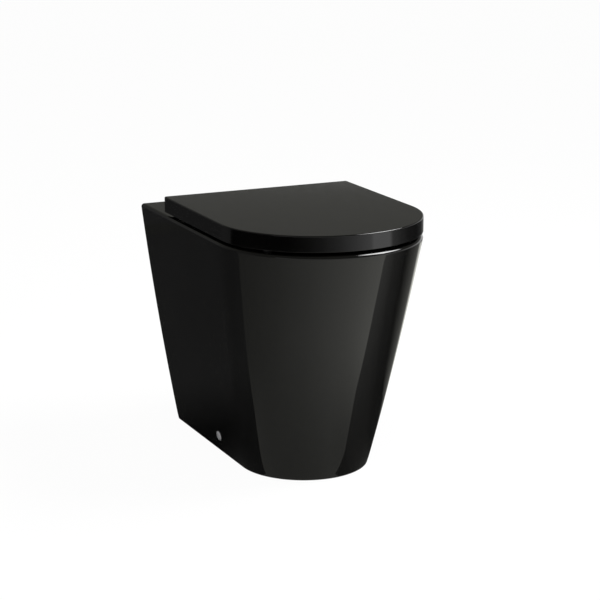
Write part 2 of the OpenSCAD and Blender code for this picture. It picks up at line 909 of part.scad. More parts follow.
pan();
inlet_seal();
hinge_post(-1);  // hinge_post_left
hinge_post(1);  // hinge_post_right
hinge_pin(-1);  // hinge_pin_left
hinge_pin(1);  // hinge_pin_right
post_gaskets();
fixing_studs();
fixing_bushes();
fixing_washers();
wing_nuts();
floor_bracket(-1);  // floor_bracket_left
floor_bracket(1);  // floor_bracket_right
side_bushes();
side_screws();
screw_caps();
seat();
seat_pads();
seat_damper();
seat_sleeve();
lid();
lid_pads();
lid_damper();
lid_sleeve();
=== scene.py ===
import json
import math

import bmesh
import bpy
from mathutils import Matrix, Vector


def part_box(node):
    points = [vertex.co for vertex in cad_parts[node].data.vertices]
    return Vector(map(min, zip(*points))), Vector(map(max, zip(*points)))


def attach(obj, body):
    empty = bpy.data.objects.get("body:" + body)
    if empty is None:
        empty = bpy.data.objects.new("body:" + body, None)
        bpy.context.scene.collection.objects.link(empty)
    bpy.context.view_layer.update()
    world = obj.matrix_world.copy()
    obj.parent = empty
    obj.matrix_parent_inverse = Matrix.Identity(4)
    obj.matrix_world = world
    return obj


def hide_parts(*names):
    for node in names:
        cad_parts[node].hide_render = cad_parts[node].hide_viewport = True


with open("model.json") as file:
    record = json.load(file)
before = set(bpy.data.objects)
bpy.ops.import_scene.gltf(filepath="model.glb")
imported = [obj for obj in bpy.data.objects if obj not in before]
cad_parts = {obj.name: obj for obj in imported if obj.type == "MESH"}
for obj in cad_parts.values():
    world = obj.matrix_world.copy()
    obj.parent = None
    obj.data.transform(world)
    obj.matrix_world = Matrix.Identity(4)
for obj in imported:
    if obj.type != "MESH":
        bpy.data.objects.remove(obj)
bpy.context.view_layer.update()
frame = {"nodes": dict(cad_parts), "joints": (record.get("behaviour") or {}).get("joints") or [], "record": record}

# Floor-standing toilet in black glaze. Metres: X across, Y back to the wall, Z up from the floor.

# Sizes of the casting, from its node and from the way it is formed
pan_low, pan_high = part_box("pan")
WALL_Y = pan_high.y
FRONT_Y = pan_low.y
RIM_Z = pan_high.z
PAN_HALF_W = pan_high.x
RIM_NOSE_L = 0.190
FOOT_HALF_W = 0.1175
FOOT_L = 0.437
FOOT_NOSE_L = 0.120
WALL_BOW = 0.0035
WALL_T = 0.012
DECK_T = 0.016
EDGE_R = 0.006
CORNER_R = 0.005
LEAST_CORNER_R = 0.0005
FOOT_EDGE_R = 0.002
FLANGE_W = 0.028
FLANGE_H = 0.014
SKIRT_H = RIM_Z - EDGE_R
DECK_Z = RIM_Z - DECK_T

# The bowl, its flush ledge and its sump
BOWL_HALF_W = 0.139
BOWL_L = 0.327
BOWL_NOSE_L = 0.175
BOWL_CORNER_R = 0.105
BOWL_T = 0.010
BOWL_FRONT_Y = FRONT_Y + 0.037
BOWL_REAR_Y = BOWL_FRONT_Y + BOWL_L
LEDGE_Z = RIM_Z - 0.052
LEDGE_W = 0.012
LEDGE_SLOPE = 0.008
SUMP_R = 0.044
SUMP_Z = 0.115
SUMP_Y = WALL_Y - 0.325

# The trap, as the bends that its centre line follows, and the outlet
TRAP_R = 0.040
TRAP_T = 0.009
SUMP_RUN = 0.026
LOW_BEND_R = 0.080
WEIR_BEND_R = 0.050
RISER_L = 0.006
OUTLET_Z = 0.180
OUTLET_R = 0.051
OUTLET_BORE_R = 0.043
OUTLET_Y = WALL_Y - 0.040
OUTLET_OVERLAP = 0.004
BEND_CLEAR = 0.001

# The flush pipe, which flares into a slot above the ledge
INLET_Z = 0.330
INLET_R = 0.0275
INLET_T = 0.0085
INLET_WAY_R = 0.024
INLET_SOCKET_L = 0.035
INLET_Y = WALL_Y - 0.018
SLOT_HALF_W = 0.055
SLOT_HALF_H = 0.007
SLOT_Y = BOWL_REAR_Y - 0.004
HORN_Y = SLOT_Y + 0.055
ELLIPSE_SQUARENESS = 2
SLOT_SQUARENESS = 6
RIB_T = 0.012
RIB_REAR_Y = INLET_Y - 0.004

# The seat and the lid
hinge = Vector(frame["joints"][0]["pos_m"])
lid_low, lid_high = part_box("lid")
KNUCKLE_R = 0.008
KNUCKLE_L = 0.0235
KNUCKLE_END_T = 0.0025
KNUCKLE_ROOT_L = 0.012
KNUCKLE_PLAY = 0.001
POST_X = 0.0775
POST_KNUCKLE_L = 0.018
DAMPER_R = 0.00555
SEAT_KNUCKLE_X = POST_X + POST_KNUCKLE_L / 2 + KNUCKLE_PLAY
LID_KNUCKLE_X = POST_X - POST_KNUCKLE_L / 2 - KNUCKLE_PLAY - KNUCKLE_L
ARM_CLEAR = 0.0005
ARM_GAP = 0.0015
LID_HINGE_GAP = 0.001
LID_WALL_T = 0.0045
LID_T = 0.0045
LID_NOSE_L = 0.174
LID_EDGE_R = 0.002
LID_LOWER_R = 0.0008
LID_CORNER_R = 0.004
LID_EDGE_Z = RIM_Z + 0.0053
LID_REAR_Y = hinge.y - KNUCKLE_R - LID_HINGE_GAP
SEAT_T = 0.0185
SEAT_Z = RIM_Z + 0.006
SEAT_TOP_Z = SEAT_Z + SEAT_T
LID_UNDER_Z = SEAT_TOP_Z + 0.0045
LID_TOP_Z = LID_UNDER_Z + LID_T
SEAT_GAP = 0.0015
SEAT_FRONT_W = 0.058
SEAT_REAR_W = 0.065
SEAT_CORNER_R = 0.014
SEAT_EDGE_R = 0.004
SEAT_LIP_R = 0.008
SEAT_LOWER_R = 0.002
OPENING_HALF_W = 0.112
OPENING_L = 0.271
OPENING_NOSE_L = 0.150
OPENING_CORNER_R = 0.085

# The side screws and the caps over them
SIDE_FIX_Y = WALL_Y - 0.222
SIDE_FIX_Z = 0.032
SIDE_FLANGE_T = 0.001
SIDE_SHANK_R = 0.003
SIDE_SHANK_L = 0.0429
SIDE_HEAD_R = 0.0052
SIDE_HEAD_H = 0.0012
SIDE_HEAD_CROWN = 0.0005
SIDE_PITCH = 0.002
CAP_R = 0.009
CAP_H = 0.003
CAP_T = 0.0007
CAP_FOOT_H = 0.0003

# The hinge posts, their studs and the wing nuts
GASKET_T = 0.0015
POST_FOOT_R = 0.020
POST_FOOT_T = 0.0035
POST_EDGE_R = 0.0015
POST_FILLET_R = 0.003
STEM_R = 0.007
BARREL_EDGE_R = 0.001
PIN_HOLE_R = 0.00305
DECK_HOLE_R = 0.007
STUD_R = 0.004
STUD_HOLE_R = 0.00405
STUD_DROP = 0.036
STUD_GRIP = 0.007
STUD_PITCH = 0.00125
STUD_SOCKET_L = 0.008
BUSH_FLANGE_T = 0.004
WASHER_T = 0.0015
NUT_H = 0.012
NUT_R = 0.009
NUT_FOOT_R = 0.0075
NUT_EDGE_R = 0.0008
EAR_END = 0.021
EAR_HALF_L = 0.0078
EAR_HALF_H = 0.0045
EAR_HALF_T = 0.0015
EAR_EDGE_R = 0.0007
EAR_BLUNTNESS = 0.8
THREAD_DEPTH_SHARE = 0.12

# How finely curves are drawn
NOSE_STEPS = 144
CORNER_STEPS = 10
SKIRT_LEVELS = 36
BOWL_LEVELS = 40
BALL_STEPS = 12
EDGE_STEPS = 8
SMALL_EDGE_STEPS = 4
DOME_STEPS = 12
ARC_STEPS = 6
CROWN_STEPS = 6
LOW_BEND_STEPS = 18
WEIR_STEPS = 30
LAST_BEND_STEPS = 14
HORN_STEPS = 16
PIPE_SIDES = 64
EAR_SIDES = 48
THREAD_SIDES = 24
THREAD_STEPS_PER_TURN = 4
SHADING_WEIGHT = 60
OVER = 0.001
MERGE_DISTANCE = 1e-7
LEAST_EDGE_L = 1e-8


# Sections and rings. A section is [half width, front y, nose length, back y, rear corner radius].

def mix(first, second, share):
    """The section part of the way from one to another."""
    return [a * (1 - share) + b * share for a, b in zip(first, second)]


def shrink(section, inset):
    """The section moved inwards all round, or outwards where the inset is negative."""
    half_w, front, nose, back, corner = section
    return [half_w - inset, front + inset, nose - inset, back - inset, max(corner - inset, LEAST_CORNER_R)]


def quarter(steps=EDGE_STEPS):
    """Angles from 0 to a quarter turn."""
    return [math.pi / 2 * i / steps for i in range(steps + 1)]


def outline(section):
    """Points round a section: an elliptical nose in front and two rounded corners behind."""
    half_w, front, nose, back, corner = section
    points = []
    for i in range(NOSE_STEPS + 1):
        angle = math.pi * i / NOSE_STEPS
        points.append((half_w * math.cos(angle), front + nose - nose * math.sin(angle)))
    insets = [(corner * (1 - math.cos(a)), corner * (1 - math.sin(a))) for a in quarter(CORNER_STEPS)]
    points += [(-half_w + across, back - along) for across, along in insets]
    points += [(half_w - across, back - along) for across, along in reversed(insets)]
    return points


def ring(section, z):
    return [Vector((x, y, z)) for x, y in outline(section)]


def lower_edge(section, radius, z, way=1):
    """Rings of a rounded lower edge, outside a section, or inside one where the way is -1."""
    rings = []
    for angle in quarter(SMALL_EDGE_STEPS):
        inset = way * radius * (1 - math.sin(angle))
        rings.append(ring(shrink(section, inset), z + radius * (1 - math.cos(angle))))
    return rings


def upper_edge(section, radius, z, way=1):
    """Rings of a rounded upper edge, from below, outside a section, or inside one where the way is -1."""
    rings = []
    for angle in quarter():
        inset = way * radius * (1 - math.cos(angle))
        rings.append(ring(shrink(section, inset), z - radius * (1 - math.sin(angle))))
    return rings


def ease(share):
    """A share that starts and ends gently."""
    return (1 - math.cos(math.pi * share)) / 2


rim_section = [PAN_HALF_W, FRONT_Y, RIM_NOSE_L, WALL_Y, CORNER_R]
foot_section = [FOOT_HALF_W, WALL_Y - FOOT_L, FOOT_NOSE_L, WALL_Y, CORNER_R]
bowl_section = [BOWL_HALF_W, BOWL_FRONT_Y, BOWL_NOSE_L, BOWL_REAR_Y, BOWL_CORNER_R]
ledge_section = shrink(bowl_section, LEDGE_W)
sump_section = [SUMP_R, SUMP_Y - SUMP_R, SUMP_R, SUMP_Y + SUMP_R, SUMP_R]
lid_section = [lid_high.x, lid_low.y, LID_NOSE_L, LID_REAR_Y, LID_CORNER_R]
lid_hollow = shrink(lid_section, LID_WALL_T)
OPENING_Y = lid_hollow[1] + SEAT_GAP + SEAT_FRONT_W
OPENING_REAR_Y = OPENING_Y + OPENING_L
SEAT_REAR_Y = OPENING_REAR_Y + SEAT_REAR_W
seat_section = shrink(lid_hollow, SEAT_GAP)[:3] + [SEAT_REAR_Y, SEAT_CORNER_R]
opening_section = [OPENING_HALF_W, OPENING_Y, OPENING_NOSE_L, OPENING_REAR_Y, OPENING_CORNER_R]

# Which way the walls' bow moves each size of the skirt's section
BOW_WAYS = (1, -1, 1, 0, 0)
# How steeply each size of the bowl's section grows
BOWL_STEEPNESS = (1, 1.2, 1.1, 1.5, 1)


def skirt(share):
    """The skirt's section at a share of its height, bowed outwards most at half of it."""
    bow = WALL_BOW * 4 * share * (1 - share)
    return [size + bow * way for size, way in zip(mix(foot_section, rim_section, share), BOW_WAYS)]


def funnel(share):
    """The bowl's section at a share of the way up from its sump to its ledge."""
    grown = [ease(share) ** power for power in BOWL_STEEPNESS]
    return [low + (high - low) * part for low, high, part in zip(sump_section, ledge_section, grown)]


def funnel_z(share):
    return SUMP_Z + (LEDGE_Z - SUMP_Z) * share


# Meshes

def new_object(name, geometry):
    bmesh.ops.recalc_face_normals(geometry, faces=geometry.faces)
    mesh = bpy.data.meshes.new(name)
    geometry.to_mesh(mesh)
    geometry.free()
    obj = bpy.data.objects.new(name, mesh)
    bpy.context.scene.collection.objects.link(obj)
    return obj


def loft(name, rings, end_to_end=False):
    """A closed skin over rings of points, with flat ends or joined from its last ring to its first."""
    geometry = bmesh.new()
    rows = [[geometry.verts.new(point) for point in row] for row in rings]
    pairs = list(zip(rows, rows[1:]))
    if end_to_end:
        pairs.append((rows[-1], rows[0]))
    for lower, upper in pairs:
        for i in range(len(lower)):
            j = (i + 1) % len(lower)
            geometry.faces.new((lower[i], lower[j], upper[j], upper[i]))
    if not end_to_end:
        geometry.faces.new(reversed(rows[0]))
        geometry.faces.new(rows[-1])
    return new_object(name, geometry)


def lathe(name, profile):
    """A solid turned round its own Z from (radius, height) pairs."""
    rings = []
    for k in range(PIPE_SIDES):
        angle = 2 * math.pi * k / PIPE_SIDES
        rings.append([Vector((r * math.cos(angle), r * math.sin(angle), h)) for r, h in profile])
    obj = loft(name, rings, end_to_end=True)
    geometry = bmesh.new()
    geometry.from_mesh(obj.data)
    bmesh.ops.remove_doubles(geometry, verts=geometry.verts, dist=MERGE_DISTANCE)
    bmesh.ops.dissolve_degenerate(geometry, edges=geometry.edges, dist=LEAST_EDGE_L)
    loose = [edge for edge in geometry.edges if not edge.link_faces]
    bmesh.ops.delete(geometry, geom=loose, context="EDGES")
    bmesh.ops.recalc_face_normals(geometry, faces=geometry.faces)
    geometry.to_mesh(obj.data)
    geometry.free()
    return obj


def block(name, low, high):
    """A plain block between two corners."""
    middle = (Vector(low) + Vector(high)) / 2
    size = Vector(high) - Vector(low)
    geometry = bmesh.new()
    bmesh.ops.create_cube(geometry, size=1)
    for vert in geometry.verts:
        vert.co = Vector([middle[k] + vert.co[k] * size[k] for k in range(3)])
    return new_object(name, geometry)


def bar(name, start, end, radius):
    """A round bar between two points."""
    start, end = Vector(start), Vector(end)
    geometry = bmesh.new()
    bmesh.ops.create_cone(
        geometry, cap_ends=True, segments=PIPE_SIDES, radius1=radius, radius2=radius,
        depth=(end - start).length)
    turn = (end - start).to_track_quat("Z", "Y").to_matrix().to_4x4()
    place = Matrix.Translation((start + end) / 2) @ turn
    bmesh.ops.transform(geometry, matrix=place, verts=geometry.verts)
    return new_object(name, geometry)


def bar_back(name, start_y, end_y, z, radius):
    """A round bar towards the wall, in the middle plane."""
    return bar(name, (0, start_y, z), (0, end_y, z), radius)


def bar_across(name, start_x, end_x, radius):
    """A round bar along the hinge's axis."""
    return bar(name, (start_x, hinge.y, hinge.z), (end_x, hinge.y, hinge.z), radius)


def set_down(obj, place, direction):
    """Moves a piece from the origin to a place, with its own Z along a direction."""
    turn = Vector(direction).to_track_quat("Z", "Y").to_matrix().to_4x4()
    obj.data.transform(Matrix.Translation(place) @ turn)
    return obj


def turned(name, profile, place, direction):
    return set_down(lathe(name, profile), place, direction)


def joined(name, parts):
    """One object from several separate solids."""
    geometry = bmesh.new()
    for part in parts:
        geometry.from_mesh(part.data)
        bpy.data.objects.remove(part)
    return new_object(name, geometry)


def apply_modifiers(obj):
    graph = bpy.context.evaluated_depsgraph_get()
    mesh = bpy.data.meshes.new_from_object(obj.evaluated_get(graph))
    old = obj.data
    obj.modifiers.clear()
    obj.data = mesh
    bpy.data.meshes.remove(old)


def combine(target, tools, operation):
    """Adds the tools to the target or cuts them out of it, each with its own material, and deletes them."""
    for tool in tools:
        modifier = target.modifiers.new("combine", "BOOLEAN")
        modifier.operation = operation
        modifier.solver = "MANIFOLD"
        modifier.material_mode = "TRANSFER"
        modifier.object = tool
        apply_modifiers(target)
        bpy.data.objects.remove(tool)
    return target


def smooth(obj, degrees=35):
    """Shades the surface smooth, with a crisp line where it turns more sharply than this."""
    geometry = bmesh.new()
    geometry.from_mesh(obj.data)
    for face in geometry.faces:
        face.smooth = True
    for edge in geometry.edges:
        edge.smooth = len(edge.link_faces) == 2 and edge.calc_face_angle(0) < math.radians(degrees)
    geometry.to_mesh(obj.data)
    geometry.free()
    modifier = obj.modifiers.new("even shading", "WEIGHTED_NORMAL")
    modifier.keep_sharp = True
    modifier.weight = SHADING_WEIGHT
    return obj


def painted(obj, material):
    obj.data.materials.clear()
    obj.data.materials.append(material)
    return obj


def settle(obj, body, nodes):
    """Makes a piece move with its body and stand for its CAD nodes."""
    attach(obj, body)
    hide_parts(*nodes)


# Materials. Lengths in them are in metres, and a scale is in waves to the metre.

# The range of noise that a finish spreads over all of its values
NOISE_LOW = 0.3
NOISE_HIGH = 0.7

# The unglazed foot, and the specks of glaze that are blown in over the back edge
BARE_BELOW_Z = 0.0003
BLOWN_FROM_Y = WALL_Y - 0.085
BLOWN_FULL_Y = WALL_Y - 0.012
SPECK_SCALE = 700
SPECK_SPREAD = 0.35
SPECK_FROM = 0.4
SPECK_FULL = 0.6
CLAY = (0.60, 0.56, 0.49)
CLAY_ROUGHNESS = 0.85
BLOWN_GLAZE = (0.0014, 0.0014, 0.0013)
BLOWN_ROUGHNESS = 0.05


def shader_of(material):
    return material.node_tree.nodes["Principled BSDF"]


def new_material(name, colour, roughness, metallic=0.0):
    material = bpy.data.materials.new(name)
    material.use_nodes = True
    shader = shader_of(material)
    shader.inputs["Base Color"].default_value = (*colour, 1)
    shader.inputs["Roughness"].default_value = roughness
    shader.inputs["Metallic"].default_value = metallic
    return material


def noise(tree, scale, detail, stretch=(1, 1, 1)):
    """Noise in the piece's own space."""
    place = tree.nodes.new("ShaderNodeTexCoord")
    mapping = tree.nodes.new("ShaderNodeMapping")
    mapping.inputs["Scale"].default_value = stretch
    tree.links.new(place.outputs["Object"], mapping.inputs["Vector"])
    texture = tree.nodes.new("ShaderNodeTexNoise")
    texture.inputs["Scale"].default_value = scale
    texture.inputs["Detail"].default_value = detail
    tree.links.new(mapping.outputs[0], texture.inputs["Vector"])
    return texture.outputs["Fac"]


def map_range(tree, value, start, end, low=0.0, high=1.0, gently=False):
    """Turns values from start to end into values from low to high."""
    span = tree.nodes.new("ShaderNodeMapRange")
    if gently:
        span.interpolation_type = "SMOOTHSTEP"
    span.inputs["From Min"].default_value = start
    span.inputs["From Max"].default_value = end
    span.inputs["To Min"].default_value = low
    span.inputs["To Max"].default_value = high
    tree.links.new(value, span.inputs["Value"])
    return span.outputs[0]


def spread(tree, fac, low, high):
    """Turns noise into a range of values."""
    return map_range(tree, fac, NOISE_LOW, NOISE_HIGH, low, high)


def tones(tree, fac, first, second):
    """Turns noise into a range of colours."""
    ramp = tree.nodes.new("ShaderNodeValToRGB")
    start, end = ramp.color_ramp.elements
    start.position = NOISE_LOW
    start.color = (*first, 1)
    end.position = NOISE_HIGH
    end.color = (*second, 1)
    tree.links.new(fac, ramp.inputs[0])
    return ramp.outputs[0]


def relief(tree, shader, heights):
    """Raises the surface by each (noise, height)."""
    before = None
    for fac, height in heights:
        bump = tree.nodes.new("ShaderNodeBump")
        bump.inputs["Strength"].default_value = 1
        bump.inputs["Distance"].default_value = height
        tree.links.new(fac, bump.inputs["Height"])
        if before:
            tree.links.new(before, bump.inputs["Normal"])
        before = bump.outputs[0]
    tree.links.new(before, shader.inputs["Normal"])


def mottled(
        name, colours, colour_scale, roughness, roughness_scale, bumps, metallic=0.0, stretch=(1, 1, 1)):
    """A finish whose colour and roughness vary between two values, with bumps as (scale, height)."""
    material = new_material(name, colours[0], roughness[0], metallic)
    shader = shader_of(material)
    tree = material.node_tree
    colour_noise = noise(tree, colour_scale, detail=3)
    tree.links.new(tones(tree, colour_noise, *colours), shader.inputs["Base Color"])
    rough_noise = noise(tree, roughness_scale, detail=4, stretch=stretch)
    tree.links.new(spread(tree, rough_noise, *roughness), shader.inputs["Roughness"])
    heights = [(noise(tree, scale, detail=2, stretch=stretch), height) for scale, height in bumps]
    relief(tree, shader, heights)
    return material


def coordinate(tree, axis):
    """The place on the object along one axis."""
    place = tree.nodes.new("ShaderNodeTexCoord")
    split = tree.nodes.new("ShaderNodeSeparateXYZ")
    tree.links.new(place.outputs["Object"], split.inputs[0])
    return split.outputs[axis]


def calculate(tree, operation, first, second):
    """The result of a sum on two node outputs, or on an output and a number."""
    node = tree.nodes.new("ShaderNodeMath")
    node.operation = operation
    tree.links.new(first, node.inputs[0])
    if isinstance(second, (int, float)):
        node.inputs[1].default_value = second
    else:
        tree.links.new(second, node.inputs[1])
    return node.outputs[0]


def lay_over(material, share, colour, roughness):
    """Puts a second finish on the surface, by its share at each place."""
    tree, shader = material.node_tree, shader_of(material)
    for socket, value in (("Base Color", (*colour, 1)), ("Roughness", (roughness,) * 3 + (1,))):
        first = shader.inputs[socket].links[0].from_socket
        choice = tree.nodes.new("ShaderNodeMix")
        choice.data_type = "RGBA"
        tree.links.new(share, choice.inputs["Factor"])
        tree.links.new(first, choice.inputs["A"])
        choice.inputs["B"].default_value = value
        tree.links.new(choice.outputs["Result"], shader.inputs[socket])


def make_glaze():
    """Black glaze, which is left off where the foot stood on the kiln shelf."""
    material = mottled(
        "glaze", colours=((0.0010, 0.0010, 0.0009), (0.0018, 0.0018, 0.0016)), colour_scale=9,
        roughness=(0.022, 0.04), roughness_scale=60, bumps=[(320, 0.0000012), (14, 0.00002)])
    tree = material.node_tree
    under = calculate(tree, "LESS_THAN", coordinate(tree, "Z"), BARE_BELOW_Z)
    lay_over(material, under, CLAY, CLAY_ROUGHNESS)
    return material


def make_china():
    """The bare body inside the skirt, with specks of glaze that grow denser towards the back."""
    material = mottled(
        "bare_china", colours=((0.55, 0.51, 0.44), (0.64, 0.60, 0.53)), colour_scale=22,
        roughness=(0.75, 0.9), roughness_scale=200, bumps=[(650, 0.00003), (45, 0.00012)])
    tree = material.node_tree
    near = map_range(tree, coordinate(tree, "Y"), BLOWN_FROM_Y, BLOWN_FULL_Y, gently=True)
    specks = spread(tree, noise(tree, SPECK_SCALE, detail=2), -SPECK_SPREAD, SPECK_SPREAD)
    share = map_range(tree, calculate(tree, "ADD", near, specks), SPECK_FROM, SPECK_FULL)
    lay_over(material, share, BLOWN_GLAZE, BLOWN_ROUGHNESS)
    return material


glaze = make_glaze()
china = make_china()
plastic = mottled(
    "seat_plastic", colours=((0.0009, 0.0009, 0.0009), (0.0014, 0.0014, 0.0013)), colour_scale=14,
    roughness=(0.04, 0.06), roughness_scale=90, bumps=[(420, 0.0000015)])
rubber = mottled(
    "rubber", colours=((0.028, 0.028, 0.028), (0.05, 0.05, 0.048)), colour_scale=160,
    roughness=(0.62, 0.8), roughness_scale=300, bumps=[(900, 0.00006)])
chrome = mottled(
    "chrome", colours=((0.80, 0.80, 0.82), (0.86, 0.86, 0.87)), colour_scale=60,
    roughness=(0.05, 0.12), roughness_scale=220, bumps=[(500, 0.000002)], metallic=1.0)
cap_finish = mottled(
    "cap_finish", colours=((0.33, 0.33, 0.34), (0.41, 0.41, 0.42)), colour_scale=90,
    roughness=(0.22, 0.32), roughness_scale=260, bumps=[(500, 0.000004)], metallic=0.35)
steel = mottled(
    "steel", colours=((0.50, 0.51, 0.53), (0.64, 0.65, 0.67)), colour_scale=120,
    roughness=(0.24, 0.42), roughness_scale=90, bumps=[(260, 0.00002)], metallic=1.0, stretch=(12, 12, 1))
white_plastic = mottled(
    "white_plastic", colours=((0.74, 0.74, 0.71), (0.80, 0.80, 0.77)), colour_scale=45,
    roughness=(0.32, 0.45), roughness_scale=240, bumps=[(700, 0.00001)])
black_plastic = mottled(
    "black_plastic", colours=((0.014, 0.014, 0.014), (0.024, 0.024, 0.024)), colour_scale=70,
    roughness=(0.36, 0.52), roughness_scale=300, bumps=[(800, 0.00002)])

FINISHES = {
    "glaze": glaze, "seat_plastic": plastic, "rubber": rubber, "chrome": chrome, "steel": steel,
    "white_plastic": white_plastic, "black_plastic": black_plastic}
for part in frame["record"]["subparts"]:
    for place in frame["nodes"][part["node"]].material_slots:
        place.material = FINISHES[part["material_slot"]]


# The pan

def skirt_solid():
    rings = lower_edge(foot_section, FOOT_EDGE_R, 0)
    first = FOOT_EDGE_R / SKIRT_H
    for k in range(1, SKIRT_LEVELS):
        share = first + (1 - first) * k / SKIRT_LEVELS
        rings.append(ring(skirt(share), SKIRT_H * share))
    for angle in quarter():
        inset = EDGE_R * (1 - math.cos(angle))
        rings.append(ring(shrink(rim_section, inset), SKIRT_H + EDGE_R * math.sin(angle)))
    return loft("pan_body", rings)


def skirt_hollows():
    """The space inside the skirt, open at the back, and the narrower one inside the foot flange."""
    rings = []
    for k in range(SKIRT_LEVELS + 1):
        z = FLANGE_H + (DECK_Z - FLANGE_H) * k / SKIRT_LEVELS
        inside = shrink(skirt(min(z / SKIRT_H, 1)), WALL_T)
        inside[3] += WALL_T + OVER
        rings.append(ring(inside, z))
    foot = shrink(foot_section, FLANGE_W)
    foot[3] += FLANGE_W + OVER
    return [
        loft("skirt_hollow", rings),
        loft("foot_hollow", [ring(foot, -OVER), ring(foot, FLANGE_H + OVER)]),
    ]


def ball_bottom(section):
    """Rings of the round bottom below the sump."""
    rings = []
    for k in range(BALL_STEPS - 1, 0, -1):
        angle = math.pi / 2 * k / BALL_STEPS
        inset = section[0] * (1 - math.cos(angle))
        rings.append(ring(shrink(section, inset), SUMP_Z - section[0] * math.sin(angle)))
    return rings


def bowl_inside():
    rings = ball_bottom(sump_section)
    rings += [ring(funnel(k / BOWL_LEVELS), funnel_z(k / BOWL_LEVELS)) for k in range(BOWL_LEVELS + 1)]
    rings.append(ring(bowl_section, LEDGE_Z + LEDGE_SLOPE))
    for angle in quarter():
        inset = EDGE_R * (math.cos(angle) - 1)
        rings.append(ring(shrink(bowl_section, inset), SKIRT_H + EDGE_R * math.sin(angle)))
    rings.append(ring(shrink(bowl_section, -EDGE_R), RIM_Z + OVER))
    return loft("bowl_inside", rings)


def bowl_outside():
    rings = ball_bottom(shrink(sump_section, -BOWL_T))
    for k in range(BOWL_LEVELS):
        share = k / BOWL_LEVELS
        if funnel_z(share) < LEDGE_Z - 2 * BOWL_T:
            rings.append(ring(shrink(funnel(share), -BOWL_T), funnel_z(share)))
    upper = shrink(bowl_section, -BOWL_T)
    rings.append(ring(upper, LEDGE_Z - BOWL_T))
    rings.append(ring(upper, SKIRT_H))
    return loft("bowl_outside", rings)


def trap_path():
    """The trap's centre line as (y, z, heading) from the sump to the outlet."""
    low_y, low_z = SUMP_Y + SUMP_RUN, SUMP_Z + LOW_BEND_R
    weir_y, weir_z = low_y + LOW_BEND_R + WEIR_BEND_R, low_z + RISER_L
    drop = math.acos((OUTLET_Z + WEIR_BEND_R - weir_z) / (2 * WEIR_BEND_R))
    last_y = weir_y + 2 * WEIR_BEND_R * math.sin(drop)
    last_z = weir_z + 2 * WEIR_BEND_R * math.cos(drop)
    path = [(SUMP_Y, SUMP_Z, 0)]
    for heading in quarter(LOW_BEND_STEPS):
        y, z = low_y + LOW_BEND_R * math.sin(heading), low_z - LOW_BEND_R * math.cos(heading)
        path.append((y, z, heading))
    for i in range(WEIR_STEPS + 1):
        heading = math.pi / 2 - (math.pi / 2 + drop) * i / WEIR_STEPS
        y, z = weir_y - WEIR_BEND_R * math.sin(heading), weir_z + WEIR_BEND_R * math.cos(heading)
        path.append((y, z, heading))
    for i in range(LAST_BEND_STEPS - 1, -1, -1):
        heading = -drop * i / LAST_BEND_STEPS
        y, z = last_y + WEIR_BEND_R * math.sin(heading), last_z - WEIR_BEND_R * math.cos(heading)
        path.append((y, z, heading))
    path.append((last_y + OUTLET_OVERLAP, OUTLET_Z, 0))
    return path


def trap(name, radius):
    rings = []
    for y, z, heading in trap_path():
        row = []
        for i in range(PIPE_SIDES):
            angle = 2 * math.pi * i / PIPE_SIDES
            up = radius * math.cos(angle)
            place = (-radius * math.sin(angle), y - up * math.sin(heading), z + up * math.cos(heading))
            row.append(Vector(place))
        rings.append(row)
    return loft(name, rings)


def horn_ring(y, z, half_w, half_h, squareness):
    """One ring of the flush pipe, from an ellipse to nearly a slot by its squareness."""
    row = []
    for i in range(PIPE_SIDES):
        angle = 2 * math.pi * (i + 0.5) / PIPE_SIDES
        sine, cosine = math.sin(angle), math.cos(angle)
        across = half_w * math.copysign(abs(sine) ** (2 / squareness), sine)
        up = half_h * math.copysign(abs(cosine) ** (2 / squareness), cosine)
        row.append(Vector((across, y, z + up)))
    return row


def flush_horn(name, radius, slot_half_w, slot_half_h, end_y):
    """The flush pipe from its socket to the slot above the ledge."""
    slot_z = LEDGE_Z + SLOT_HALF_H + OVER
    rings = [horn_ring(end_y, INLET_Z, radius, radius, ELLIPSE_SQUARENESS)]
    for i in range(HORN_STEPS + 1):
        share = i / HORN_STEPS
        flare = ease(share)
        y = HORN_Y + (SLOT_Y - HORN_Y) * share
        z = INLET_Z + (slot_z - INLET_Z) * flare
        half_w = radius + (slot_half_w - radius) * flare
        half_h = radius + (slot_half_h - radius) * flare
        squareness = ELLIPSE_SQUARENESS + (SLOT_SQUARENESS - ELLIPSE_SQUARENESS) * flare
        rings.append(horn_ring(y, z, half_w, half_h, squareness))
    return loft(name, rings)


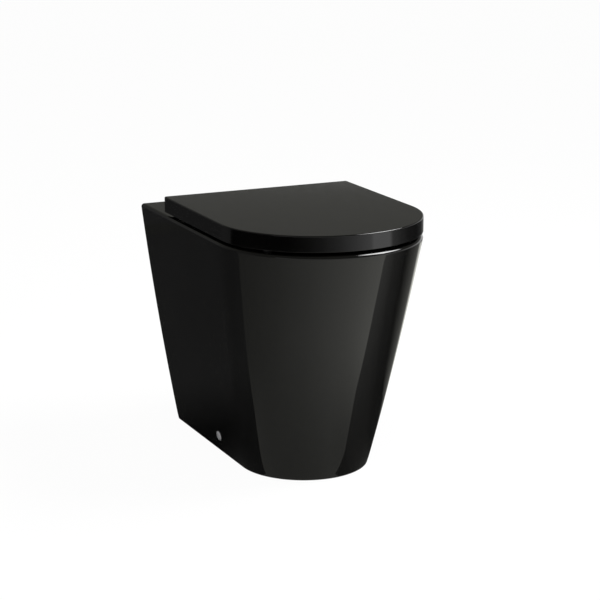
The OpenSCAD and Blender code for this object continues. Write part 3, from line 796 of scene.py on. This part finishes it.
def make_pan():
    """The casting, glazed outside and in its water ways, and bare inside the skirt."""
    pan = painted(skirt_solid(), glaze)
    bend_y = trap_path()[-1][0] - OUTLET_OVERLAP
    horn_half_w, horn_half_h = SLOT_HALF_W + INLET_T, SLOT_HALF_H + INLET_T
    hollows = skirt_hollows()
    walls = [
        bowl_outside(),
        trap("trap_outside", TRAP_R + TRAP_T),
        flush_horn("horn_outside", INLET_R + INLET_T, horn_half_w, horn_half_h, INLET_Y),
        block("rib", (-RIB_T / 2, HORN_Y, INLET_Z), (RIB_T / 2, RIB_REAR_Y, DECK_Z + OVER)),
        bar_back("outlet", bend_y + BEND_CLEAR, OUTLET_Y, OUTLET_Z, OUTLET_R),
    ]
    for piece in hollows + walls:
        painted(piece, china)
    holes = [
        bowl_inside(),
        trap("trap_inside", TRAP_R),
        flush_horn("horn_inside", INLET_WAY_R, SLOT_HALF_W, SLOT_HALF_H, INLET_Y + OVER),
        bar_back("outlet_bore", bend_y - OUTLET_OVERLAP, OUTLET_Y + OVER, OUTLET_Z, OUTLET_BORE_R),
        bar_back("inlet_socket", INLET_Y - INLET_SOCKET_L, INLET_Y + OVER, INLET_Z, INLET_R),
    ]
    for x in (-POST_X, POST_X):
        holes.append(bar("deck_hole", (x, hinge.y, DECK_Z - OVER), (x, hinge.y, RIM_Z + OVER), DECK_HOLE_R))
    for piece in holes:
        painted(piece, glaze)
    combine(pan, hollows, "DIFFERENCE")
    combine(pan, walls, "UNION")
    combine(pan, holes, "DIFFERENCE")
    pan.name = "pan_glazed"
    settle(smooth(pan), "pan_assembly", ["pan"])


# The lid and the seat

def knuckle(name, start_x, root_y, top_z):
    """A hinge barrel on an arm from the lid's or the seat's rear edge."""
    end_x = start_x + KNUCKLE_L
    low_z = hinge.z - KNUCKLE_R + ARM_CLEAR
    barrel = bar_across(name, start_x, end_x, KNUCKLE_R)
    arm = block(name + "_arm", (start_x, root_y, low_z), (end_x, hinge.y, top_z))
    return combine(barrel, [arm], "UNION")


def make_lid():
    """A shallow dish with two knuckles, and windows behind for the posts and the seat's knuckles."""
    rings = [ring(lid_hollow, LID_UNDER_Z), ring(lid_hollow, LID_EDGE_Z)]
    rings += lower_edge(lid_section, LID_LOWER_R, LID_EDGE_Z)
    rings += upper_edge(lid_section, LID_EDGE_R, LID_TOP_Z)
    lid = loft("lid_moulded", rings)
    inner_x = LID_KNUCKLE_X + KNUCKLE_L
    outer_x = SEAT_KNUCKLE_X + KNUCKLE_L + ARM_GAP
    for side in (-1, 1):
        low_x, high_x = sorted((side * inner_x, side * outer_x))
        window_low = (low_x, LID_REAR_Y - LID_WALL_T - OVER, LID_EDGE_Z - OVER)
        window = block("window", window_low, (high_x, LID_REAR_Y + OVER, LID_UNDER_Z))
        combine(lid, [window], "DIFFERENCE")
    for side in (-1, 1):
        low_x = min(side * LID_KNUCKLE_X, side * inner_x)
        combine(lid, [knuckle("lid_knuckle", low_x, LID_REAR_Y - LID_WALL_T / 2, LID_UNDER_Z)], "UNION")
        bore_x = LID_KNUCKLE_X + KNUCKLE_END_T
        bore = bar_across("bore", side * bore_x, side * (inner_x + OVER), DAMPER_R)
        combine(lid, [bore], "DIFFERENCE")
    settle(smooth(painted(lid, plastic)), "lid_assembly", ["lid"])


def make_seat():
    """A ring with rounded edges, a softer lip round its opening, and two knuckles."""
    rings = lower_edge(seat_section, SEAT_LOWER_R, SEAT_Z)
    rings += upper_edge(seat_section, SEAT_EDGE_R, SEAT_TOP_Z)
    rings += reversed(upper_edge(opening_section, SEAT_LIP_R, SEAT_TOP_Z, -1))
    rings += reversed(lower_edge(opening_section, SEAT_LOWER_R, SEAT_Z, -1))
    seat = loft("seat_moulded", rings, end_to_end=True)
    outer_x = SEAT_KNUCKLE_X + KNUCKLE_L
    for side in (-1, 1):
        low_x = min(side * SEAT_KNUCKLE_X, side * outer_x)
        combine(seat, [knuckle("seat_knuckle", low_x, SEAT_REAR_Y - KNUCKLE_ROOT_L, SEAT_TOP_Z)], "UNION")
        bore_x = SEAT_KNUCKLE_X - OVER
        bore = bar_across("bore", side * bore_x, side * (outer_x - KNUCKLE_END_T), DAMPER_R)
        combine(seat, [bore], "DIFFERENCE")
    settle(smooth(painted(seat, plastic)), "seat_assembly", ["seat"])


# The fixings

def arc(centre, radius, start, end):
    """Points of a profile along an arc, by its angles in degrees."""
    angles = [math.radians(start + (end - start) * k / ARC_STEPS) for k in range(ARC_STEPS + 1)]
    return [(centre[0] + radius * math.cos(a), centre[1] + radius * math.sin(a)) for a in angles]


def dome(radius, height):
    """Points of a profile up a dome."""
    return [(radius * math.cos(a), height * math.sin(a)) for a in quarter(DOME_STEPS)]


def thread(name, radius, length, pitch):
    """A threaded rod up its own Z, whose first and last turns run out."""
    count = round(length / pitch * THREAD_STEPS_PER_TURN)
    rings = []
    for k in range(count + 1):
        z = length * k / count
        run_out = min(1, z / pitch, (length - z) / pitch)
        row = []
        for i in range(THREAD_SIDES):
            ridge = abs(2 * ((z / pitch - i / THREAD_SIDES) % 1) - 1) * run_out
            angle = 2 * math.pi * i / THREAD_SIDES
            reach = radius * (1 - THREAD_DEPTH_SHARE * (1 - ridge))
            row.append(Vector((reach * math.cos(angle), reach * math.sin(angle), z)))
        rings.append(row)
    return loft(name, rings)


def side_fixing(side):
    """Where a side screw's axis leaves the leaning skirt, and its way out."""
    lean = math.atan2(skirt(1 / SKIRT_LEVELS)[0] - FOOT_HALF_W, SKIRT_H / SKIRT_LEVELS)
    x = FOOT_HALF_W + SIDE_FIX_Z * math.tan(lean)
    out = Vector((side * math.cos(lean), 0, -math.sin(lean)))
    return Vector((side * x, SIDE_FIX_Y, SIDE_FIX_Z)), out


def make_caps():
    """Hollow domed caps over the two side screws, square to the leaning skirt."""
    inner_r = CAP_R - CAP_T
    outside = [(r, CAP_FOOT_H + h) for r, h in dome(CAP_R, CAP_H - CAP_FOOT_H)]
    inside = dome(inner_r, CAP_H - CAP_T)[1:]
    profile = [(inner_r, 0), (CAP_R, 0)] + outside + inside[::-1]
    caps = joined("caps_domed", [turned("cap", profile, *side_fixing(side)) for side in (-1, 1)])
    settle(smooth(painted(caps, cap_finish), degrees=50), "pan_assembly", ["screw_caps"])


def make_side_screws():
    """Low-headed screws through the skirt into the floor brackets."""
    rim_h = SIDE_FLANGE_T + SIDE_HEAD_H
    head = [(0, -SIDE_FLANGE_T), (SIDE_SHANK_R, -SIDE_FLANGE_T), (SIDE_SHANK_R, SIDE_FLANGE_T)]
    head += [(SIDE_HEAD_R, SIDE_FLANGE_T), (SIDE_HEAD_R, rim_h - SIDE_HEAD_CROWN)]
    for k in range(1, CROWN_STEPS + 1):
        share = 1 - k / CROWN_STEPS
        head.append((SIDE_HEAD_R * share, rim_h - SIDE_HEAD_CROWN * share ** 2))
    screws = []
    for side in (-1, 1):
        place, out = side_fixing(side)
        shank = thread("shank", SIDE_SHANK_R, SIDE_SHANK_L, SIDE_PITCH)
        set_down(shank, place - out * SIDE_SHANK_L, out)
        screws.append(combine(turned("head", head, place, out), [shank], "UNION"))
    screws = joined("side_screws_threaded", screws)
    settle(smooth(painted(screws, steel), degrees=50), "pan_assembly", ["side_screws"])


def make_posts():
    """Chrome hinge posts with a filleted round foot."""
    foot_z = RIM_Z + GASKET_T
    edge_x = KNUCKLE_R - BARREL_EDGE_R
    barrel_profile = [(0, 0)] + arc((edge_x, BARREL_EDGE_R), BARREL_EDGE_R, -90, 0)
    barrel_profile += arc((edge_x, POST_KNUCKLE_L - BARREL_EDGE_R), BARREL_EDGE_R, 0, 90)
    barrel_profile.append((0, POST_KNUCKLE_L))
    profile = [(0, STUD_SOCKET_L), (STUD_HOLE_R, STUD_SOCKET_L), (STUD_HOLE_R, 0), (POST_FOOT_R, 0)]
    profile += arc((POST_FOOT_R - POST_EDGE_R, POST_FOOT_T - POST_EDGE_R), POST_EDGE_R, 0, 90)
    profile += arc((STEM_R + POST_FILLET_R, POST_FOOT_T + POST_FILLET_R), POST_FILLET_R, 270, 180)
    profile += [(STEM_R, hinge.z - foot_z), (0, hinge.z - foot_z)]
    for x, side in ((-POST_X, "left"), (POST_X, "right")):
        post = turned("hinge_post_%s_polished" % side, profile, (x, hinge.y, foot_z), (0, 0, 1))
        barrel = turned("barrel", barrel_profile, (x - POST_KNUCKLE_L / 2, hinge.y, hinge.z), (1, 0, 0))
        combine(post, [barrel], "UNION")
        pin_hole = bar_across("pin_hole", x - POST_KNUCKLE_L, x + POST_KNUCKLE_L, PIN_HOLE_R)
        combine(post, [pin_hole], "DIFFERENCE")
        settle(smooth(painted(post, chrome)), "pan_assembly", ["hinge_post_" + side])


def make_studs():
    """Threaded rods from the posts down through the deck to the wing nuts."""
    foot_z = DECK_Z - STUD_DROP
    length = STUD_DROP + DECK_T + GASKET_T + STUD_GRIP
    rods = []
    for x in (-POST_X, POST_X):
        rods.append(set_down(thread("stud", STUD_R, length, STUD_PITCH), (x, hinge.y, foot_z), (0, 0, 1)))
    studs = joined("fixing_studs_threaded", rods)
    settle(smooth(painted(studs, steel), degrees=60), "pan_assembly", ["fixing_studs"])


def ear(side):
    """One wing of a wing nut, as a lobe with rounded edges."""
    front_edge = [(0, EAR_EDGE_R), (EAR_EDGE_R / 3, EAR_EDGE_R / 3), (EAR_EDGE_R, 0)]
    rows = [(-EAR_HALF_T + depth, inset) for depth, inset in front_edge]
    rows += [(EAR_HALF_T - depth, inset) for depth, inset in reversed(front_edge)]
    rings = []
    for y, inset in rows:
        row = []
        for i in range(EAR_SIDES):
            angle = 2 * math.pi * i / EAR_SIDES
            cosine, sine = math.cos(angle), math.sin(angle)
            across = (EAR_HALF_L - inset) * math.copysign(abs(cosine) ** EAR_BLUNTNESS, cosine)
            up = (EAR_HALF_H - inset) * math.copysign(abs(sine) ** EAR_BLUNTNESS, sine)
            row.append(Vector((side * (EAR_END - EAR_HALF_L) + across, y, EAR_HALF_H + up)))
        rings.append(row)
    return loft("ear", rings)


def make_wing_nuts():
    """Moulded wing nuts under the deck."""
    foot_z = DECK_Z - BUSH_FLANGE_T - WASHER_T - NUT_H
    hub = [(STUD_HOLE_R, 0), (NUT_FOOT_R - NUT_EDGE_R, 0)]
    hub += arc((NUT_FOOT_R - NUT_EDGE_R, NUT_EDGE_R), NUT_EDGE_R, -80, 0)
    hub += arc((NUT_R - NUT_EDGE_R, NUT_H - NUT_EDGE_R), NUT_EDGE_R, 0, 80)
    hub += [(NUT_R - NUT_EDGE_R, NUT_H), (STUD_HOLE_R, NUT_H)]
    nuts = []
    for x in (-POST_X, POST_X):
        nut = combine(lathe("nut", hub), [ear(-1), ear(1)], "UNION")
        nuts.append(set_down(nut, (x, hinge.y, foot_z), (0, 0, 1)))
    nuts = joined("wing_nuts_moulded", nuts)
    settle(smooth(painted(nuts, white_plastic)), "pan_assembly", ["wing_nuts"])


make_pan()
make_lid()
make_seat()
make_caps()
make_side_screws()
make_posts()
make_studs()
make_wing_nuts()


# The studio: floor, cards, world, lamps and camera

FLOOR_HALF_SIZE = 60
FLOOR_GREY = 0.92
FLOOR_ROUGHNESS = 0.9
FLOOR_GLOW = 0.94


def make_floor():
    """A pale floor that the camera, metal and glass see as white, with the object's shadow on it."""
    geometry = bmesh.new()
    bmesh.ops.create_grid(geometry, x_segments=1, y_segments=1, size=FLOOR_HALF_SIZE)
    floor = new_object("floor", geometry)
    material = new_material("pale_floor", (FLOOR_GREY,) * 3, FLOOR_ROUGHNESS)
    tree = material.node_tree
    rays = tree.nodes.new("ShaderNodeLightPath").outputs
    seen = calculate(tree, "MAXIMUM", rays["Is Camera Ray"], rays["Is Glossy Ray"])
    seen = calculate(tree, "MAXIMUM", seen, rays["Is Transmission Ray"])
    white = tree.nodes.new("ShaderNodeEmission")
    white.inputs["Color"].default_value = (1, 1, 1, 1)
    blend = tree.nodes.new("ShaderNodeMixShader")
    tree.links.new(calculate(tree, "MULTIPLY", seen, FLOOR_GLOW), blend.inputs[0])
    tree.links.new(shader_of(material).outputs[0], blend.inputs[1])
    tree.links.new(white.outputs[0], blend.inputs[2])
    tree.links.new(blend.outputs[0], tree.nodes["Material Output"].inputs["Surface"])
    painted(floor, material)


# Gloss black mirrors whatever stands round it, and the photograph was taken among dark and grey cards.
# These glowing cards stand in for them and paint a reflection on the gloss. Only reflections show them,
# so the floor stays white to the camera. Greys are stops of (bearing, grey), near the foot of the object
# and further out: the darker greys near the foot are painted shade, and greys above 1 painted highlights.
CARD_Z = 0.001
NEAR_R = 0.1
MID_R = 1.6
FAR_R = 4
RING_CARD_STEPS = 120
NEAR_SPAN = (0.15, 0.55)
NEAR_WARMTH = 0.07
# Near the foot the greys are darker: painted shade in the reflection.
NEAR_FOOT_GREYS = [
    (-180, 0.42), (-150, 0.33), (-100, 0.27), (-60, 0.1), (-40, 0.03), (0, 0.03), (30, 0.1), (40, 1.0),
    (58, 0.9), (63, 0.2), (78, 0.1), (96, 0.04), (110, 0.04), (140, 0.2), (180, 0.42)]
NEAR_GREYS = [
    (-180, 0.79), (-150, 0.53), (-120, 0.34), (-90, 0.22), (-60, 0.12), (-40, 0.045), (0, 0.04),
    (30, 0.1), (40, 1.0), (58, 0.9), (63, 0.2), (86, 0.13), (96, 0.06), (110, 0.04), (120, 1.1),
    (150, 1.06), (180, 0.79)]
FAR_SPAN = (0, 1)
# The greys above 1 are painted highlights in the reflection.
FAR_GREYS = [
    (-180, 0.33), (-165, 0.15), (-150, 0.055), (-131, 0.005), (-57, 0.005), (-53, 0.09), (-44, 0.09),
    (-28, 0.045), (0, 0.06), (45, 0.3), (61, 0.07), (80, 0.03), (97, 0.07), (110, 0.2), (122, 0.45),
    (126, 1.3), (145, 1.5), (148, 1.01), (165, 0.63), (180, 0.33)]

# The flat cards, darker sheets that paint shade into the reflection with a crisp edge: an edge of (x, y)
# corners, whose mirror image runs down the gloss, and a rear by (bearing, radius) corners
LEFT_EDGE = [(-0.105, -0.100), (-0.203, -0.068), (-0.294, -0.032), (-0.519, 0.095), (-1.550, 0.660)]
LEFT_REAR = [(-50, 1.55), (-30, 1.55), (0, 1.55), (0, 0.3)]
LEFT_SPAN = (0.15, 0.5)
# Darker near the foot: painted shade in the reflection.
LEFT_FOOT_GREYS = [(-130, 0.07), (-90, 0.03), (-50, 0.006)]
LEFT_GREYS = [(-80, 0.1), (-55, 0.055), (-30, 0.04)]
RIGHT_EDGE = [(0.010, -0.163), (0.066, -0.202), (0.181, -0.318), (0.410, -0.467), (1.300, -0.970)]
RIGHT_REAR = [(98, 1.5), (98, 0.44), (84, 0.34), (84, 0.13)]
RIGHT_SPAN = (0.1, 1.05)
RIGHT_WARMTH = 0.04
# Darker near the foot: painted shade in the reflection.
RIGHT_FOOT_GREYS = [(84, 0.02), (120, 0.025), (155, 0.085)]
RIGHT_GREYS = [(84, 0.04), (100, 0.05), (118, 0.18), (130, 0.45), (150, 0.9)]

# The upright glowing screen at the left and behind, a painted reflection seen only on the gloss
SCREEN_BEARINGS = (-112, 8)
SCREEN_STEPS = 30
SCREEN_H = 1.25
SCREEN_GREY = 0.13


def compass(degrees, radius, z):
    """A place by its bearing, which is 0 behind the object, 90 on its right and 180 in front."""
    angle = math.radians(degrees)
    return Vector((radius * math.sin(angle), radius * math.cos(angle), z))


def emission(name):
    """A material that only glows, and its glow."""
    material = bpy.data.materials.new(name)
    material.use_nodes = True
    tree = material.node_tree
    tree.nodes.clear()
    glow = tree.nodes.new("ShaderNodeEmission")
    out = tree.nodes.new("ShaderNodeOutputMaterial")
    tree.links.new(glow.outputs[0], out.inputs["Surface"])
    return material, glow


def warm(grey, warmth):
    return (grey, grey, grey * (1 - warmth), 1)


def grey_ramp(tree, turn, stops, warmth):
    """Greys by bearing, from a turn of 0 at -180 degrees to 1 at 180."""
    ramp = tree.nodes.new("ShaderNodeValToRGB")
    elements = ramp.color_ramp.elements
    elements.remove(elements[1])
    for k, (degrees, grey) in enumerate(stops):
        position = (degrees + 180) / 360
        element = elements[0] if k == 0 else elements.new(position)
        element.position = position
        element.color = warm(grey, warmth)
    tree.links.new(turn, ramp.inputs[0])
    return ramp.outputs[0]


# Paints reflections: a darker ramp near the foot is painted shade.
def graded(name, foot_stops, outer_stops, span, warmth=0.0):
    """A glow whose grey follows the bearing, by one ramp near the foot and another beyond the span."""
    material, glow = emission(name)
    tree = material.node_tree
    bearing = calculate(tree, "ARCTAN2", coordinate(tree, "X"), coordinate(tree, "Y"))
    turn = map_range(tree, bearing, -math.pi, math.pi)
    place = tree.nodes.new("ShaderNodeTexCoord")
    distance = tree.nodes.new("ShaderNodeVectorMath")
    distance.operation = "LENGTH"
    tree.links.new(place.outputs["Object"], distance.inputs[0])
    mixed = tree.nodes.new("ShaderNodeMix")
    mixed.data_type = "RGBA"
    tree.links.new(map_range(tree, distance.outputs["Value"], *span, gently=True), mixed.inputs["Factor"])
    tree.links.new(grey_ramp(tree, turn, foot_stops, warmth), mixed.inputs["A"])
    tree.links.new(grey_ramp(tree, turn, outer_stops, warmth), mixed.inputs["B"])
    tree.links.new(mixed.outputs["Result"], glow.inputs["Color"])
    return material


def make_card(name, faces, material):
    """A glowing card seen in reflections alone, a painted reflection: no shadow, unseen by the camera."""
    geometry = bmesh.new()
    for corners in faces:
        geometry.faces.new([geometry.verts.new(corner) for corner in corners])
    card = painted(new_object(name, geometry), material)
    card.visible_camera = False
    card.visible_diffuse = False
    card.visible_transmission = False
    card.visible_volume_scatter = False
    card.visible_shadow = False


def make_ring_card(name, inner_r, outer_r, material):
    turns = [360 * i / RING_CARD_STEPS for i in range(RING_CARD_STEPS + 1)]
    faces = []
    for start, end in zip(turns, turns[1:]):
        inner = [compass(start, inner_r, CARD_Z), compass(end, inner_r, CARD_Z)]
        outer = [compass(start, outer_r, CARD_Z), compass(end, outer_r, CARD_Z)]
        faces.append([inner[0], outer[0], outer[1], inner[1]])
    make_card(name, faces, material)


def make_flat_card(name, edge, rear, material):
    corners = [Vector((x, y, 2 * CARD_Z)) for x, y in edge]
    corners += [compass(degrees, radius, 2 * CARD_Z) for degrees, radius in rear]
    make_card(name, [corners], material)


def make_reflection_screen():
    """A glowing screen along part of a circle on the floor, a painted reflection seen only in the gloss."""
    first, last = SCREEN_BEARINGS
    turns = [first + (last - first) * i / SCREEN_STEPS for i in range(SCREEN_STEPS + 1)]
    faces = []
    for start, end in zip(turns, turns[1:]):
        foot = [compass(start, FAR_R, 0), compass(end, FAR_R, 0)]
        faces.append(foot + [compass(end, FAR_R, SCREEN_H), compass(start, FAR_R, SCREEN_H)])
    material, glow = emission("left_reflection_screen")
    glow.inputs["Color"].default_value = warm(SCREEN_GREY, 0)
    make_card("left_reflection_screen", faces, material)


def make_reflection_cards():
    """Two rings of card round the object, two flat cards over them, and a screen, all painted reflections."""
    near = graded("near_reflection_card", NEAR_FOOT_GREYS, NEAR_GREYS, NEAR_SPAN, NEAR_WARMTH)
    make_ring_card("near_reflection_card", NEAR_R, MID_R, near)
    far = graded("far_reflection_card", FAR_GREYS, FAR_GREYS, FAR_SPAN)
    make_ring_card("far_reflection_card", MID_R, FAR_R, far)
    left = graded("left_reflection_card", LEFT_FOOT_GREYS, LEFT_GREYS, LEFT_SPAN)
    make_flat_card("left_reflection_card", LEFT_EDGE, LEFT_REAR, left)
    right = graded("right_reflection_card", RIGHT_FOOT_GREYS, RIGHT_GREYS, RIGHT_SPAN, RIGHT_WARMTH)
    make_flat_card("right_reflection_card", RIGHT_EDGE, RIGHT_REAR, right)
    make_reflection_screen()


# The horizon is given as the upward part of a direction of length 1
HORIZON_LOW = 0.165
HORIZON_HIGH = 0.185
ROOM_COLOUR = (0.13, 0.13, 0.119, 1)


def make_world():
    """A dim room over a pale horizon."""
    world = bpy.data.worlds.new("studio")
    world.use_nodes = True
    tree = world.node_tree
    place = tree.nodes.new("ShaderNodeTexCoord")
    split = tree.nodes.new("ShaderNodeSeparateXYZ")
    tree.links.new(place.outputs["Generated"], split.inputs[0])
    sky = tree.nodes.new("ShaderNodeMix")
    sky.data_type = "RGBA"
    sky.inputs["A"].default_value = (1, 1, 1, 1)
    sky.inputs["B"].default_value = ROOM_COLOUR
    tree.links.new(map_range(tree, split.outputs["Z"], HORIZON_LOW, HORIZON_HIGH), sky.inputs["Factor"])
    tree.links.new(sky.outputs["Result"], tree.nodes["Background"].inputs["Color"])
    bpy.context.scene.world = world


def make_lamp(name, kind, place, aim, energy):
    lamp = bpy.data.lights.new(name, kind)
    lamp.energy = energy
    obj = bpy.data.objects.new(name, lamp)
    bpy.context.scene.collection.objects.link(obj)
    obj.location = place
    obj.rotation_euler = (Vector(aim) - Vector(place)).to_track_quat("-Z", "Y").to_euler()
    obj.visible_camera = False
    return obj


def make_lamps():
    softbox = make_lamp("softbox", "AREA", place=(1.43, -0.52, 2.1), aim=(0, 0, 0.3), energy=70)
    softbox.data.size = 1.2
    fill = make_lamp("fill", "SUN", place=(-1.5, -1.5, 3), aim=(0, 0, 0), energy=2.2)
    fill.data.angle = math.radians(50)
    fill.visible_glossy = False


# The photograph's view: its lens in pixels of a 600 pixel frame, and where it stands and looks
PHOTO_PIXELS = 600
LENS_PIXELS = 1894.127
SENSOR_MM = 36
VIEW_AZIMUTH = -24.988
VIEW_ELEVATION = 14.298
VIEW_TARGET = (0.012465, 0, 0.286581)
VIEW_DISTANCE = 3.402485


def make_camera():
    camera_data = bpy.data.cameras.new("camera")
    camera_data.sensor_width = SENSOR_MM
    camera_data.lens = LENS_PIXELS / PHOTO_PIXELS * SENSOR_MM
    camera = bpy.data.objects.new("camera", camera_data)
    bpy.context.scene.collection.objects.link(camera)
    azimuth, elevation = math.radians(VIEW_AZIMUTH), math.radians(VIEW_ELEVATION)
    level = math.cos(elevation)
    back = Vector((math.sin(azimuth) * level, -math.cos(azimuth) * level, math.sin(elevation)))
    camera.location = Vector(VIEW_TARGET) + back * VIEW_DISTANCE
    camera.rotation_euler = back.to_track_quat("Z", "Y").to_euler()
    bpy.context.scene.camera = camera


make_floor()
make_reflection_cards()
make_world()
make_lamps()
make_camera()
bpy.context.scene.view_settings.view_transform = "Standard"
